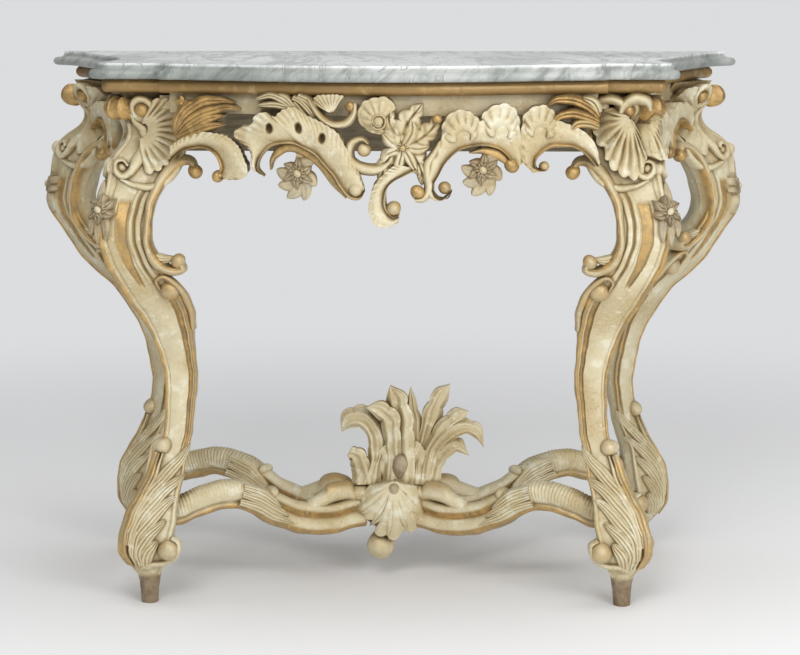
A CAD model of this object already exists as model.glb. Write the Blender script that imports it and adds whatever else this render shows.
"""Pier table: carved, cream-painted and parcel-gilt base under a loose marble top. Sizes are in metres."""

import math

import bpy
import numpy as np
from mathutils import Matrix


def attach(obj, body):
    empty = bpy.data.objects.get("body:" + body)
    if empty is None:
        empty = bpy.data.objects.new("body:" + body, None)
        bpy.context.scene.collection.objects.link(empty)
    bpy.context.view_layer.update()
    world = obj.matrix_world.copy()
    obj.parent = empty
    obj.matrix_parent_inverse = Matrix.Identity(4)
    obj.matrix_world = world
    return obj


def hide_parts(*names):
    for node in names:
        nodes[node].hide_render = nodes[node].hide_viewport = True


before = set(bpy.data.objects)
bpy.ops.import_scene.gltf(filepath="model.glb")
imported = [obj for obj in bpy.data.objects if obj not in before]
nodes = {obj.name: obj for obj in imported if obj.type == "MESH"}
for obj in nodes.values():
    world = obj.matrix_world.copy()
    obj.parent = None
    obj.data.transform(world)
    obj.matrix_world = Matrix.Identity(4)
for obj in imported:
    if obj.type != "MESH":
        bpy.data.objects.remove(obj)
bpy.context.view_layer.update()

# Camera of the photograph
CAMERA_PLACE = (0.126, -3.763, 1.0129)
CAMERA_PITCH = 0.1547
CAMERA_YAW = 0.0281
CAMERA_LENS = 105.7
CAMERA_SENSOR = 36

# Front apron face: a bow in the middle, a hollow beside it and a straight run to the leg
BOW_FRONT = -0.280
BOW_RADIUS = 0.525
BOW_TURN = math.radians(21.5)
HOLLOW_RADIUS = 0.92
END_TURN = math.radians(16)
APRON_BACK = -0.019

# Side apron face, from front to back: place along the depth, place across the width
SIDE_LINE = [(-0.096, -0.418), (-0.06, -0.416), (-0.03, -0.417), (0.0, -0.421), (0.03, -0.431),
             (0.06, -0.444), (0.12, -0.468), (0.186, -0.495)]

# Legs: where they stand, which way the ridge faces, and their section at each height
FRONT_FOOT = (-0.377, -0.124)
BACK_FOOT = (-0.424, 0.230)
FRONT_FACING = math.radians(225)
BACK_FACING = math.radians(180)
LEG_TOP = 0.815
LEG_LOW = 0.047
# Height, front leg's reach, back leg's reach, width of a face
LEG_STATIONS = [(0.047, 0.020, 0.020, 0.032), (0.090, 0.051, 0.050, 0.074), (0.135, 0.045, 0.050, 0.078),
                (0.185, 0.010, 0.028, 0.059), (0.235, -0.020, 0.002, 0.048), (0.290, -0.037, -0.009, 0.045),
                (0.345, -0.039, -0.004, 0.0495), (0.400, -0.028, 0.014, 0.057), (0.450, 0.0, 0.046, 0.073),
                (0.500, 0.039, 0.096, 0.088), (0.550, 0.071, 0.134, 0.082), (0.600, 0.086, 0.162, 0.077),
                (0.650, 0.074, 0.158, 0.080), (0.704, 0.058, 0.145, 0.098), (0.755, 0.025, 0.098, 0.082),
                (0.815, 0.066, 0.140, 0.098)]
# Columns of that table
FRONT_REACH = 1
BACK_REACH = 2
FACE_WIDTH = 3

KNEE_HEIGHT = 0.630
DIAGONAL = math.sqrt(0.5)

# Back legs are cut flat at the back of the frame; their forms end in small steps, so that no cuts coincide
FRAME_BACK = 0.288
WALL_STEP = 0.0005
WALL_STEPS = 8

# Posts at the head of the legs: the head and the lower eye of the scroll, the height at which two posts are
# compared, how far the leg's body keeps back behind the scroll, and how deep the ends of a corner roll go in
POST_HEAD = (0.005, 0.789)
POST_EYE = (-0.026, 0.698)
POST_LEVEL = 0.755
POST_TUCK = 0.026
ROLL_SINK = 0.028

# Size of the flowers on the knees and under the apron, and the middles of those on the knees, of their leaves
# and of the flower in the cartouche
FLOWER_RADIUS = 0.0245
KNEE_FLOWER = (0.0, 0.637)
KNEE_LEAVES = (0.0, 0.636)
CARTOUCHE_FLOWER = (0.033, 0.739)

# Stretcher: its centre; the line of an arm from the leg to the centre, as length and height; the height at
# which the arms join the legs, how far beside the ridge they do so, and the distance from rib to rib
CENTRE = (0.0, 0.045)
ARM_LINE = [(0.002, 0.146), (0.048, 0.146), (0.076, 0.153), (0.125, 0.165), (0.175, 0.153),
            (0.228, 0.125), (0.298, 0.107), (0.334, 0.112), (0.365, 0.115)]
ARM_LOW = 0.146
ARM_SIDE = 0.015
RIB_PITCH = 0.0062

# Middle of the swelling faces of the centre block, and how far they stand out there
HUB_MIDDLE = (0.008, 0.125)
HUB_FRONT = 0.046

# Height of the slab's top, and the band below it where the top goes over into the moulded edge
SLAB_TOP = 0.860
SLAB_ROUND = 0.006
SLAB_ARRIS = 0.001

# Fineness of carved forms: points across a band, rows along one, the angle at which a ball's rings begin,
# the distance at which points merge, the angle of a crease, and how far a carver's hand strays
ACROSS = 15
ALONG = 90
POLE = 0.03
MERGE = 1e-6
CREASE = math.radians(48)
OFF_TRUE = 0.0009

# Half width and half height of a pit in a leaf
PIT = (0.0042, 0.0068)


# Finishes

class Value:
    """A number that changes over a surface, with arithmetic."""

    def __init__(self, finish, socket):
        self.finish = finish
        self.socket = socket

    def worked_out(self, operation, first, second):
        """The result of one sum, as a value of its own."""
        return self.finish.value("ShaderNodeMath", {"operation": operation}, {0: first, 1: second})

    def __add__(self, other):
        return self.worked_out("ADD", self, other)

    def __radd__(self, other):
        return self.worked_out("ADD", other, self)

    def __sub__(self, other):
        return self.worked_out("SUBTRACT", self, other)

    def __rsub__(self, other):
        return self.worked_out("SUBTRACT", other, self)

    def __mul__(self, other):
        return self.worked_out("MULTIPLY", self, other)

    def __rmul__(self, other):
        return self.worked_out("MULTIPLY", other, self)

    def __abs__(self):
        return self.finish.value("ShaderNodeMath", {"operation": "ABSOLUTE"}, {0: self})


class Finish:
    """A material built up node by node."""

    def __init__(self, name):
        self.material = bpy.data.materials.new(name)
        self.material.use_nodes = True
        self.tree = self.material.node_tree
        self.shader = self.tree.nodes["Principled BSDF"]

    def fill(self, socket, content):
        """Give a socket a link or a plain setting."""
        if isinstance(content, Value):
            content = content.socket
        if isinstance(content, bpy.types.NodeSocket):
            self.tree.links.new(content, socket)
        else:
            socket.default_value = content

    def node(self, kind, settings, sockets):
        """One node with its settings and what its sockets hold."""
        made = self.tree.nodes.new(kind)
        for name, setting in settings.items():
            setattr(made, name, setting)
        for name, content in sockets.items():
            self.fill(made.inputs[name], content)
        return made

    def value(self, kind, settings, sockets, output=0):
        """One output of a new node, ready for arithmetic."""
        return Value(self, self.node(kind, settings, sockets).outputs[output])

    def place(self, stretch=(1, 1, 1), turn=(0, 0, 0), kind="POINT"):
        """Place on the piece, stretched and then turned for a pattern."""
        here = self.node("ShaderNodeTexCoord", {}, {}).outputs["Object"]
        moved = self.node("ShaderNodeMapping", {"vector_type": kind},
                          {"Vector": here, "Scale": stretch, "Rotation": turn})
        return moved.outputs[0]

    def slanted(self, length, turn):
        """Place for a pattern that is drawn out along a slanting line."""
        return self.place(length, turn, "TEXTURE")

    def noise(self, scale, detail=3.0, rough=0.55, bend=0.0, where=None):
        """Cloudy pattern between 0 and 1."""
        where = where or self.place()
        return self.value("ShaderNodeTexNoise", {}, {"Vector": where, "Scale": scale, "Detail": detail,
                                                     "Roughness": rough, "Distortion": bend})

    def between(self, amount, low, high):
        """0 below low, 1 above high, and a smooth step between them."""
        return self.value("ShaderNodeMapRange", {"interpolation_type": "SMOOTHSTEP"},
                          {"Value": amount, "From Min": low, "From Max": high})

    def mix(self, factor, first, second):
        """One colour going over into another."""
        made = self.node("ShaderNodeMix", {"data_type": "RGBA"}, {"Factor": factor})
        for name, colour in (("A_Color", first), ("B_Color", second)):
            socket = next(entry for entry in made.inputs if entry.identifier == name)
            self.fill(socket, colour)
        return next(entry for entry in made.outputs if entry.identifier == "Result_Color")

    def recess(self, reach):
        """1 in open places, falling to 0 deep in the carving."""
        return self.value("ShaderNodeAmbientOcclusion", {"samples": 8}, {"Distance": reach}, "AO")

    def bump(self, height, strength, distance):
        """Fine relief of the surface."""
        made = self.node("ShaderNodeBump", {}, {"Height": height, "Strength": strength, "Distance": distance})
        self.fill(self.shader.inputs["Normal"], made.outputs[0])

    def surface(self, **sockets):
        """What the surface is like, socket by socket."""
        for name, content in sockets.items():
            self.fill(self.shader.inputs[name.replace("_", " ")], content)


# Paint, gilding and what shows through them
CREAM = (0.635, 0.561, 0.368, 1)
YELLOWED = (0.506, 0.405, 0.221, 1)
CHALKY = (0.708, 0.672, 0.515, 1)
GRIME = (0.17, 0.115, 0.055, 1)
SPECK = (0.25, 0.17, 0.085, 1)
GOLD = (0.52, 0.34, 0.125, 1)
DULL_GOLD = (0.30, 0.19, 0.07, 1)
BOLE = (0.24, 0.12, 0.05, 1)
BARE = (0.29, 0.22, 0.14, 1)
OCHRE = (0.368, 0.276, 0.129, 1)

# Marble: its light and grey body on the top and on the edge, its veins and its grain
WHITE_TOP = (0.95, 0.96, 0.95, 1)
WHITE_EDGE = (0.57, 0.58, 0.56, 1)
GREY_TOP = (0.72, 0.74, 0.73, 1)
GREY_EDGE = (0.28, 0.30, 0.28, 1)
SOFT_VEIN = (0.22, 0.25, 0.23, 1)
DARK_VEIN = (0.16, 0.18, 0.16, 1)
STONE_GRAIN = (0.30, 0.31, 0.29, 1)

# Bare wood: the light and the dark of its grain, in the frame and in the pegs
FRAME_LIGHT = (0.30, 0.25, 0.16, 1)
FRAME_DARK = (0.17, 0.135, 0.085, 1)
PEG_LIGHT = (0.26, 0.20, 0.13, 1)
PEG_DARK = (0.12, 0.085, 0.05, 1)

# Share of the stains that paint on plain boards has
PLAIN_STAINS = 0.3


def aged_paint(name, stained=1.0):
    """Old cream paint, rubbed and grimy; worn gilding where gilt is high, bare wood where it is below 0."""
    coat = Finish(name)
    gilt = coat.value("ShaderNodeAttribute", {"attribute_name": "gilt"}, {}, "Fac")
    broad = coat.noise(11.0, 4.0)
    rubbed = coat.noise(48.0, 6.0, 0.65)
    fine = coat.noise(300.0, 4.0, 0.7)
    open_place = coat.recess(0.034)
    paint = coat.mix(coat.between(broad + 0.6 * (rubbed - 0.5), 0.40, 0.66), CREAM, YELLOWED)
    paint = coat.mix(coat.between(rubbed - 0.4 * (broad - 0.5), 0.50, 0.68), paint, CHALKY)
    stain = 1 - coat.between(open_place + 0.7 * (rubbed - 0.5), 0.55, 1.0)
    paint = coat.mix(stain * (0.9 * stained), paint, OCHRE)
    paint = coat.mix(coat.between(fine + 0.4 * (broad - 0.5), 0.60, 0.70) * 0.65, paint, SPECK)
    gold = coat.mix(coat.between(rubbed + 0.3 * (fine - 0.5), 0.38, 0.60), DULL_GOLD, GOLD)
    gold = coat.mix(coat.between(fine, 0.60, 0.74) * 0.8, gold, BOLE)
    cover = coat.between(gilt + 0.8 * (rubbed - 0.5) + 0.3 * (fine - 0.5), 0.10, 0.60)
    colour = coat.mix(cover, paint, gold)
    wood = coat.mix(coat.between(rubbed, 0.35, 0.65), BARE, GRIME)
    colour = coat.mix(coat.between(0.5 * (rubbed - 0.5) - gilt, 0.15, 0.75), colour, wood)
    dirt = (1 - coat.between(open_place + 0.4 * (rubbed - 0.5), 0.16, 0.78)) * (0.85 * stained)
    colour = coat.mix(dirt, colour, GRIME)
    coat.surface(Base_Color=colour, Metallic=cover * 0.4 * (1 - dirt),
                 Roughness=0.46 - 0.14 * cover + 0.3 * (rubbed - 0.5))
    coat.bump(rubbed * 0.7 + fine * 0.3, 0.6, 0.003)
    return coat.material


def gilt_moulding():
    """Gilded half-round under the slab: fine upright cracks, and worn patches that show the bole."""
    coat = Finish("cracked_gilding")
    across = coat.noise(26.0, 5.0, 0.7, 0.0, coat.place((1, 1, 0.04)))
    broad = coat.noise(14.0, 5.0, 0.6)
    rubbed = coat.noise(70.0, 6.0, 0.65)
    fine = coat.noise(300.0, 4.0, 0.7)
    gold = coat.mix(coat.between(rubbed * 0.5 + broad * 0.5, 0.50, 0.72), DULL_GOLD, GOLD)
    gold = coat.mix(coat.between(broad + 0.4 * (rubbed - 0.5), 0.60, 0.74), gold, YELLOWED)
    gold = coat.mix(coat.between(fine, 0.64, 0.75), gold, BOLE)
    line = 1 - coat.between(abs(across - 0.5), 0.0015, 0.006)
    colour = coat.mix(line * 0.45, gold, BOLE)
    coat.surface(Base_Color=colour, Metallic=0.35 * (1 - line), Roughness=0.40 + 0.25 * (rubbed - 0.5))
    coat.bump(rubbed * 0.5 - line * 0.5, 0.4, 0.0015)
    return coat.material


def marble():
    """White and grey slab with grey-green veins; its moulded edge is darker and streaked."""
    stone = Finish("veined_marble")
    run = stone.place((1.0, 1.0, 1.6), (0.0, 0.7, 0.5))
    drawn = stone.place((3.2, 0.8, 0.8), (0.0, 0.7, 0.5))
    cloud = stone.noise(3.0, 6.0, 0.6, 0.6, run)
    veins = stone.noise(2.4, 8.0, 0.60, 0.8, drawn)
    threads = stone.noise(5.0, 7.0, 0.62, 1.0, drawn)
    streaks = stone.noise(24.0, 6.0, 0.66, 0.4, stone.slanted((0.40, 2.0, 2.0), (0.0, 0.80, 0.0)))
    grain = stone.noise(260.0, 3.0, 0.6)
    height = stone.value("ShaderNodeSeparateXYZ", {}, {"Vector": stone.place()}, "Z")
    edge = 1 - stone.between(height, SLAB_TOP - SLAB_ROUND, SLAB_TOP - SLAB_ARRIS)
    grey = stone.mix(edge, GREY_TOP, GREY_EDGE)
    white = stone.mix(edge, WHITE_TOP, WHITE_EDGE)
    body = stone.mix(stone.between(cloud, 0.34, 0.68), grey, white)
    broad_vein = 1 - stone.between(abs(veins - 0.5), 0.002, 0.040)
    thin_vein = 1 - stone.between(abs(threads - 0.5), 0.001, 0.012)
    colour = stone.mix(broad_vein * 0.35, body, SOFT_VEIN)
    colour = stone.mix(thin_vein * 0.6, colour, DARK_VEIN)
    colour = stone.mix(edge * stone.between(streaks, 0.44, 0.66) * 0.75, colour, DARK_VEIN)
    colour = stone.mix(stone.between(grain, 0.45, 0.8) * 0.15, colour, STONE_GRAIN)
    stone.surface(Base_Color=colour, Roughness=0.26 + 0.14 * grain, Specular_IOR_Level=0.35)
    stone.bump(grain + broad_vein * 0.5, 0.05, 0.001)
    return stone.material


def old_wood(name, light, dark):
    """Bare old wood with its grain along the piece."""
    wood = Finish(name)
    grain = wood.noise(22.0, 6.0, 0.65, 0.5, wood.place((1, 6, 6)))
    pores = wood.noise(180.0, 4.0, 0.6, 0.0, wood.place((0.25, 2, 2)))
    colour = wood.mix(wood.between(grain, 0.35, 0.68), dark, light)
    colour = wood.mix(wood.between(pores, 0.60, 0.75) * 0.6, colour, dark)
    wood.surface(Base_Color=colour, Roughness=0.68 + 0.2 * (grain - 0.5))
    wood.bump(grain * 0.5 + pores * 0.5, 0.4, 0.002)
    return wood.material


PAINT = aged_paint("aged_paint")
PLAIN_PAINT = aged_paint("aged_paint_plain", PLAIN_STAINS)
GILDING = gilt_moulding()
MARBLE = marble()
DARK_WOOD = old_wood("dark_old_wood", FRAME_LIGHT, FRAME_DARK)
PEG_WOOD = old_wood("bare_peg_wood", PEG_LIGHT, PEG_DARK)


# Lines and surfaces

def smooth_run(points, count):
    """Evenly spaced places on a smooth line through the points."""
    points = np.array(points, float)
    knots = np.concatenate([[0], np.cumsum(np.sqrt(np.linalg.norm(np.diff(points, axis=0), axis=1)))])
    slopes = np.gradient(points, knots, axis=0)
    fine = np.linspace(0, knots[-1], 40 * len(points))
    span = np.clip(np.searchsorted(knots, fine, side="right") - 1, 0, len(knots) - 2)
    gap = (knots[span + 1] - knots[span])[:, None]
    part = (fine - knots[span])[:, None] / gap
    line = ((1 + 2 * part) * (1 - part) ** 2 * points[span]
            + part * (1 - part) ** 2 * gap * slopes[span]
            + part * part * (3 - 2 * part) * points[span + 1]
            + part * part * (part - 1) * gap * slopes[span + 1])
    length = np.concatenate([[0], np.cumsum(np.linalg.norm(np.diff(line, axis=0), axis=1))])
    even = np.linspace(0, length[-1], count)
    return np.stack([np.interp(even, length, line[:, k]) for k in range(line.shape[1])], axis=1)


def step(low, high, amount):
    """0 below low, 1 above high, smooth between."""
    part = np.clip((amount - low) / (high - low), 0, 1)
    return part * part * (3 - 2 * part)


def hump(low, high, soft, amount):
    """1 between low and high, 0 outside, smooth at both ends."""
    return step(low - soft, low + soft, amount) * (1 - step(high - soft, high + soft, amount))


def edges_of(run, half):
    """The two edges of a band about a run, left edge first."""
    way = np.gradient(run, axis=0)
    way /= np.linalg.norm(way, axis=1, keepdims=True)
    across = np.stack([-way[:, 1], way[:, 0]], axis=1) * np.broadcast_to(half, len(run))[:, None]
    return run + across, run - across


def spiral(centre, start, first, last, turns):
    """Places on a volute that winds from its first radius in to its last one."""
    part = np.linspace(0, 1, 60)
    angle = math.radians(start) + 2 * math.pi * turns * part
    radius = first + (last - first) * part
    return np.stack([centre[0] + radius * np.cos(angle), centre[1] + radius * np.sin(angle)], axis=1)


def circle(count):
    """Evenly spaced angles round a circle, in a row."""
    return np.linspace(0, 2 * math.pi, count + 1)[None, :-1]


# Mesh forms

def bent_grid(places, gilt):
    """A painted sheet whose rows and columns of points sit at the given places."""
    rows, columns = places.shape[:2]
    bpy.ops.mesh.primitive_grid_add(x_subdivisions=columns - 1, y_subdivisions=rows - 1, calc_uvs=False)
    sheet = bpy.context.object
    sheet.data.vertices.foreach_set("co", places.reshape(-1).astype(np.float32))
    layer = sheet.data.attributes.new("gilt", "FLOAT", "POINT")
    layer.data.foreach_set("value", gilt.reshape(-1).astype(np.float32))
    sheet.data.materials.append(PAINT)
    return sheet


def by_hand(places):
    """Places a little off true, as a carver's hand leaves them, but level at the floor."""
    x, y, z = places[..., 0], places[..., 1], places[..., 2]
    stray = np.stack([np.sin(71 * z + 53 * y) + 0.4 * np.sin(190 * z + 7), np.sin(67 * x + 59 * z + 2),
                      np.sin(73 * x + 61 * y + 4) + 0.4 * np.sin(180 * x)], axis=-1)
    return places + OFF_TRUE * step(0.0, 0.06, z)[..., None] * stray


def carved(rings, gilt):
    """A closed form skinned over rings, with both ends brought to a point."""
    gilt = np.broadcast_to(gilt, rings.shape[:2])
    gilt = np.concatenate([gilt, gilt[:, :1]], axis=1)
    rings = by_hand(np.concatenate([rings, rings[:, :1]], axis=1))
    first = np.broadcast_to(rings[:1].mean(axis=1, keepdims=True), rings[:1].shape)
    last = np.broadcast_to(rings[-1:].mean(axis=1, keepdims=True), rings[-1:].shape)
    return bent_grid(np.concatenate([first, rings, last]), np.concatenate([gilt[:1], gilt, gilt[-1:]]))


def relief(place, inner, outer, out, gilt, back):
    """Carving between two edges: out gives its height over the ground, row by row from edge to edge."""
    count, across = out.shape
    share = np.linspace(0, 1, across)[None, :, None]
    flat = inner[:, None] * (1 - share) + outer[:, None] * share
    flat = np.concatenate([flat, outer[:, None], inner[:, None]], axis=1)
    depth = np.concatenate([out, np.broadcast_to(back, (count, 2))], axis=1)
    gilt = np.concatenate([np.broadcast_to(gilt, out.shape), np.zeros((count, 2))], axis=1)
    return carved(place(flat[..., 0], flat[..., 1], depth), gilt)


def globe(rows, columns):
    """Angles down and round a ball, and the places they give on a ball of radius 1."""
    down = np.linspace(POLE, math.pi - POLE, rows)[:, None]
    around = circle(columns)
    unit = np.stack([np.sin(down) * np.cos(around), np.sin(down) * np.sin(around), np.cos(down) + 0 * around],
                    axis=-1)
    return down, around, unit


def ball(centre, radius, gilt):
    """A carved ball."""
    unit = globe(14, 24)[2]
    return carved(np.array(centre) + radius * unit, gilt)


def egg(centre, axes, gilt):
    """A carved oval boss, a little rough."""
    down, around, unit = globe(18, 32)
    rough = 1 + 0.03 * np.sin(9 * around) * np.sin(7 * down)
    return carved(np.array(centre) + np.array(axes) * unit * rough[..., None], gilt)


def knob(place, along, height, radius, out, gilt):
    """A ball on a carved face."""
    return ball(place(np.array(along), np.array(height), np.array(out)), radius, gilt)


def knobs(place, rows):
    """Balls on a carved face: place along it, height, radius, distance out of it, and gilt."""
    return [knob(place, *row) for row in rows]


def moulding(place, path, half, high, back, bead=0.0, gilt=0.0):
    """A raised half-round band along a path, with a bead along its left edge if one is wanted."""
    run = smooth_run(path, ALONG)
    along = np.linspace(0, 1, ALONG)[:, None]
    across = np.linspace(0, 1, ACROSS)[None]
    half = np.interp(along[:, 0], np.linspace(0, 1, len(half)), half) if np.ndim(half) else half
    inner, outer = edges_of(run, half)
    body = np.sqrt(np.clip(1 - (2 * across - 1) ** 2, 0.02, 1))
    edge = np.exp(-((across - 0.12) / 0.07) ** 2)
    groove = np.exp(-((across - 0.30) / 0.06) ** 2)
    out = high * (body + bead * (0.18 * edge - 0.30 * groove)) + 0 * along
    tint = np.clip(gilt + bead * (1 - step(0.26, 0.34, across)), 0, 1) + 0 * along
    return relief(place, inner, outer, out, tint, back)


def scroll(place, inner, outer, high, flutes, bead=0.13, gilt=0.8, pits=()):
    """Rocaille leaf between two edges: a bead on the inner one, a swelling field, flutes to the outer one."""
    count = 6 * flutes + 1
    inner = smooth_run(inner, count)
    outer = smooth_run(outer, count)
    along = np.linspace(0, 1, count)[:, None]
    across = np.linspace(0, 1, 3 * ACROSS)[None]
    flute = np.sin(math.pi * (flutes * along + 0.6 * np.sin(11 * along))) ** 2
    outer = outer - (outer - inner) * 0.025 * (1 - flute)
    rolled = 0.34 + 0.52 * np.sqrt(np.clip(1 - ((across - bead / 2) / (bead / 2)) ** 2, 0, 1))
    swell = 0.44 * np.sin(math.pi * np.clip((across - bead) / (1.2 - bead), 0, 1))
    fluting = 0.11 * (1 - flute) * step(0.55, 1.0, across) * (1 + 0.5 * np.sin(7 * along))
    waves = 0.10 * np.sin(17 * along + 1) * step(0.4, 1.0, across)
    field = 0.48 + swell + 0.10 * step(0.82, 1.0, across) - fluting + waves
    flat = inner[:, None] * (1 - across[..., None]) + outer[:, None] * across[..., None]
    for pit in pits:
        field = field - 0.9 * np.exp(-(np.linalg.norm((flat - np.array(pit)) / PIT, axis=-1)) ** 4)
    out = high * np.where(across < bead, rolled, field)
    edge = 1 - step(bead, bead + 0.03, across) + 0.4 * hump(bead, bead + 0.08, 0.04, across)
    return relief(place, inner, outer, out, gilt * np.clip(edge, 0, 1) + 0 * along, APRON_BACK)


def leaf(place, spine, wide, high):
    """Acanthus leaf: lobed edges, a sunk rib down the middle and veins that run out to the lobes."""
    lobes = 4
    count = 14 * lobes + 1
    run = smooth_run(spine, count)
    along = np.linspace(0, 1, count)[:, None]
    across = np.linspace(-1, 1, 2 * ACROSS + 1)[None]
    full = np.sin(math.pi * np.clip(along, 0.001, 0.999) ** 0.6) ** 0.7
    lobe = 0.70 + 0.30 * np.abs(np.sin(math.pi * lobes * along)) ** 0.7
    left, right = edges_of(run, (wide * full * lobe)[:, 0])
    veins = np.abs(np.sin(math.pi * (lobes * along - 0.55 * np.abs(across)))) ** 0.8
    crown = np.sqrt(np.clip(1 - across * across, 0.03, 1))
    rib = np.exp(-(across / 0.10) ** 2)
    out = high * (crown * (0.62 + 0.38 * veins) - 0.30 * rib) * (0.45 + 0.55 * full)
    return relief(place, left, right, out, 0.0, APRON_BACK)


def blade(place, spine, wide, high, back=-0.006, gilt=0.0, grooves=2, root=0.45):
    """One finger of a leaf: full past its middle, drawn to a tip, with grooves along it."""
    count = 41
    run = smooth_run(spine, count)
    along = np.linspace(0, 1, count)[:, None]
    across = np.linspace(-1, 1, 8 * (grooves + 1) + 1)[None]
    full = (root + (1 - root) * np.sin(math.pi * along ** 0.9)) * np.sqrt(1 - 0.98 * along ** 5)
    left, right = edges_of(run, (wide * full)[:, 0])
    crown = np.sqrt(np.clip(1 - across * across, 0.04, 1))
    ridge = np.abs(np.sin(math.pi * (grooves + 1) * (across + 1) / 2)) ** 0.8
    out = high * crown * (0.76 + 0.24 * ridge) * (0.5 + 0.5 * full)
    return relief(place, left, right, out, gilt, back)


def fan(place, hinge, border, ribs, high, back, root=0.10, scallop=0.05, deep=0.20):
    """Shell of soft ribs that spread from a hinge to a scalloped border."""
    count = 12 * ribs + 1
    outer = smooth_run(border, count)
    hinge = np.array(hinge)
    along = np.linspace(0, 1, count)[:, None]
    across = np.linspace(0, 1, 2 * ACROSS)[None]
    wave = np.abs(np.sin(math.pi * (ribs * along + 0.35 * np.sin(9 * along) * along * (1 - along)))) ** 0.9
    outer = hinge + (outer - hinge) * (1 - scallop * (1 - wave))
    inner = hinge + (outer - hinge) * root
    dome = np.sin(math.pi * (0.30 + 0.56 * across)) + 0.12 * step(0.86, 1.0, across)
    out = high * dome * (1 - deep * (1 - wave) * step(0.15, 0.60, across))
    return relief(place, inner, outer, out, 0.0, back)


def blossom(place, centre, radius, petals, turn, back, gilt, lift=0.0):
    """Open flower: a ring of long petals, a ring of cupped ones over their gaps, and a ball."""
    forms = []
    rings = ((1.0, 0.33, 0.26, turn), (0.62, 0.27, 0.46, turn + math.pi / petals))
    for far, wide, high, first in rings:
        for k in range(petals):
            angle = first + 2 * math.pi * (k + 0.12 * math.sin(3 * k)) / petals
            spine = [(centre[0] + radius * far * share * math.cos(angle + 0.3 * share),
                      centre[1] + radius * far * share * math.sin(angle + 0.3 * share))
                     for share in (0.08, 0.55, 1.0)]
            forms.append(blade(place, spine, radius * wide, radius * high + lift, back, gilt, 1, 0.3))
    forms.append(knob(place, *centre, 0.24 * radius, 0.36 * radius + lift, gilt + 0.3))
    return forms


def joined(name, forms):
    """Forms made one piece, with seams closed and faces outward."""
    bpy.ops.object.select_all(action="DESELECT")
    for form in forms:
        form.select_set(True)
    bpy.context.view_layer.objects.active = forms[0]
    if len(forms) > 1:
        bpy.ops.object.join()
    piece = bpy.context.object
    piece.name = name
    bpy.ops.object.mode_set(mode="EDIT")
    bpy.ops.mesh.select_all(action="SELECT")
    bpy.ops.mesh.remove_doubles(threshold=MERGE)
    bpy.ops.mesh.normals_make_consistent(inside=False)
    bpy.ops.object.mode_set(mode="OBJECT")
    bpy.ops.object.shade_smooth_by_angle(angle=CREASE)
    return piece


def placed(piece, node):
    """A carved piece that stands for its part of the table."""
    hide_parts(node)
    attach(piece, "table")
    return piece


def flipped(piece, name):
    """A copy of a piece on the other side of the middle, with its own mesh."""
    twin = piece.copy()
    twin.data = piece.data.copy()
    twin.name = name
    twin.parent = None
    for key in list(twin.keys()):
        del twin[key]
    bpy.context.scene.collection.objects.link(twin)
    place = np.empty(3 * len(twin.data.vertices), np.float32)
    twin.data.vertices.foreach_get("co", place)
    place[::3] *= -1
    twin.data.vertices.foreach_set("co", place)
    twin.data.flip_normals()
    return twin


def stand_in(node, forms):
    """One piece made of the forms, in the place of a part of the table."""
    return placed(joined("carved_" + node, forms), node)


def stand_in_pair(node, forms):
    """A piece for the left part, and its twin for the right one."""
    left = stand_in(node.format("left"), forms)
    right = node.format("right")
    placed(flipped(left, "carved_" + right), right)


# Legs

SMOOTH_STATIONS = smooth_run(LEG_STATIONS, 1200)


def leg_size(height, column):
    """Reach or face width of a leg at a height."""
    return np.interp(height, SMOOTH_STATIONS[:, 0], SMOOTH_STATIONS[:, column])


class Leg:
    """One leg: where it stands and how far its ridge reaches at each height."""

    def __init__(self, foot, facing, column):
        self.foot = foot
        self.facing = facing
        self.column = column

    def stood(self, x, y, z):
        """Place of a point given about the foot, with the ridge along +X."""
        turn_x, turn_y = math.cos(self.facing), math.sin(self.facing)
        return np.stack([self.foot[0] + x * turn_x - y * turn_y, self.foot[1] + x * turn_y + y * turn_x,
                         z + 0 * x], axis=-1)

    def reach(self, height):
        """How far the ridge is from the line over the foot."""
        return leg_size(height, self.column)

    def ridge(self, height):
        """Place along a face where the ridge is."""
        return -self.reach(height) * DIAGONAL

    def edge(self, height):
        """Place along a face where its inner edge is."""
        return self.ridge(height) + leg_size(height, FACE_WIDTH)

    def part_way(self, share, height):
        """Place along a face, part of the way from the ridge to the inner edge, with its height."""
        return float(self.ridge(height) + share * leg_size(height, FACE_WIDTH)), height

    def drawn(self, points):
        """A line on a face, from points drawn by share of the face and height."""
        return [self.part_way(*point) for point in points]

    def face(self, side):
        """Places on one of the two faces: along it, height, and out of it."""
        def place(along, height, out):
            far = self.reach(height) * DIAGONAL + out
            return self.stood((far - along) * DIAGONAL, side * (far + along) * DIAGONAL, height)
        return place

    def along_ridge(self, across, height, out):
        """Place on the ridge: across it, height, and out of it; it falls away to both sides."""
        return self.stood(self.reach(height) + out - 0.15 * np.abs(across), across, height)

    def on_knee(self, turn):
        """Places on a board that touches the ridge, turned from facing straight out of it."""
        def place(across, height, out):
            return self.stood(self.reach(height) + out * math.cos(turn) - across * math.sin(turn),
                              out * math.sin(turn) + across * math.cos(turn), height)
        return place


FRONT_LEG = Leg(FRONT_FOOT, FRONT_FACING, FRONT_REACH)
BACK_LEG = Leg(BACK_FOOT, BACK_FACING, BACK_REACH)


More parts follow.
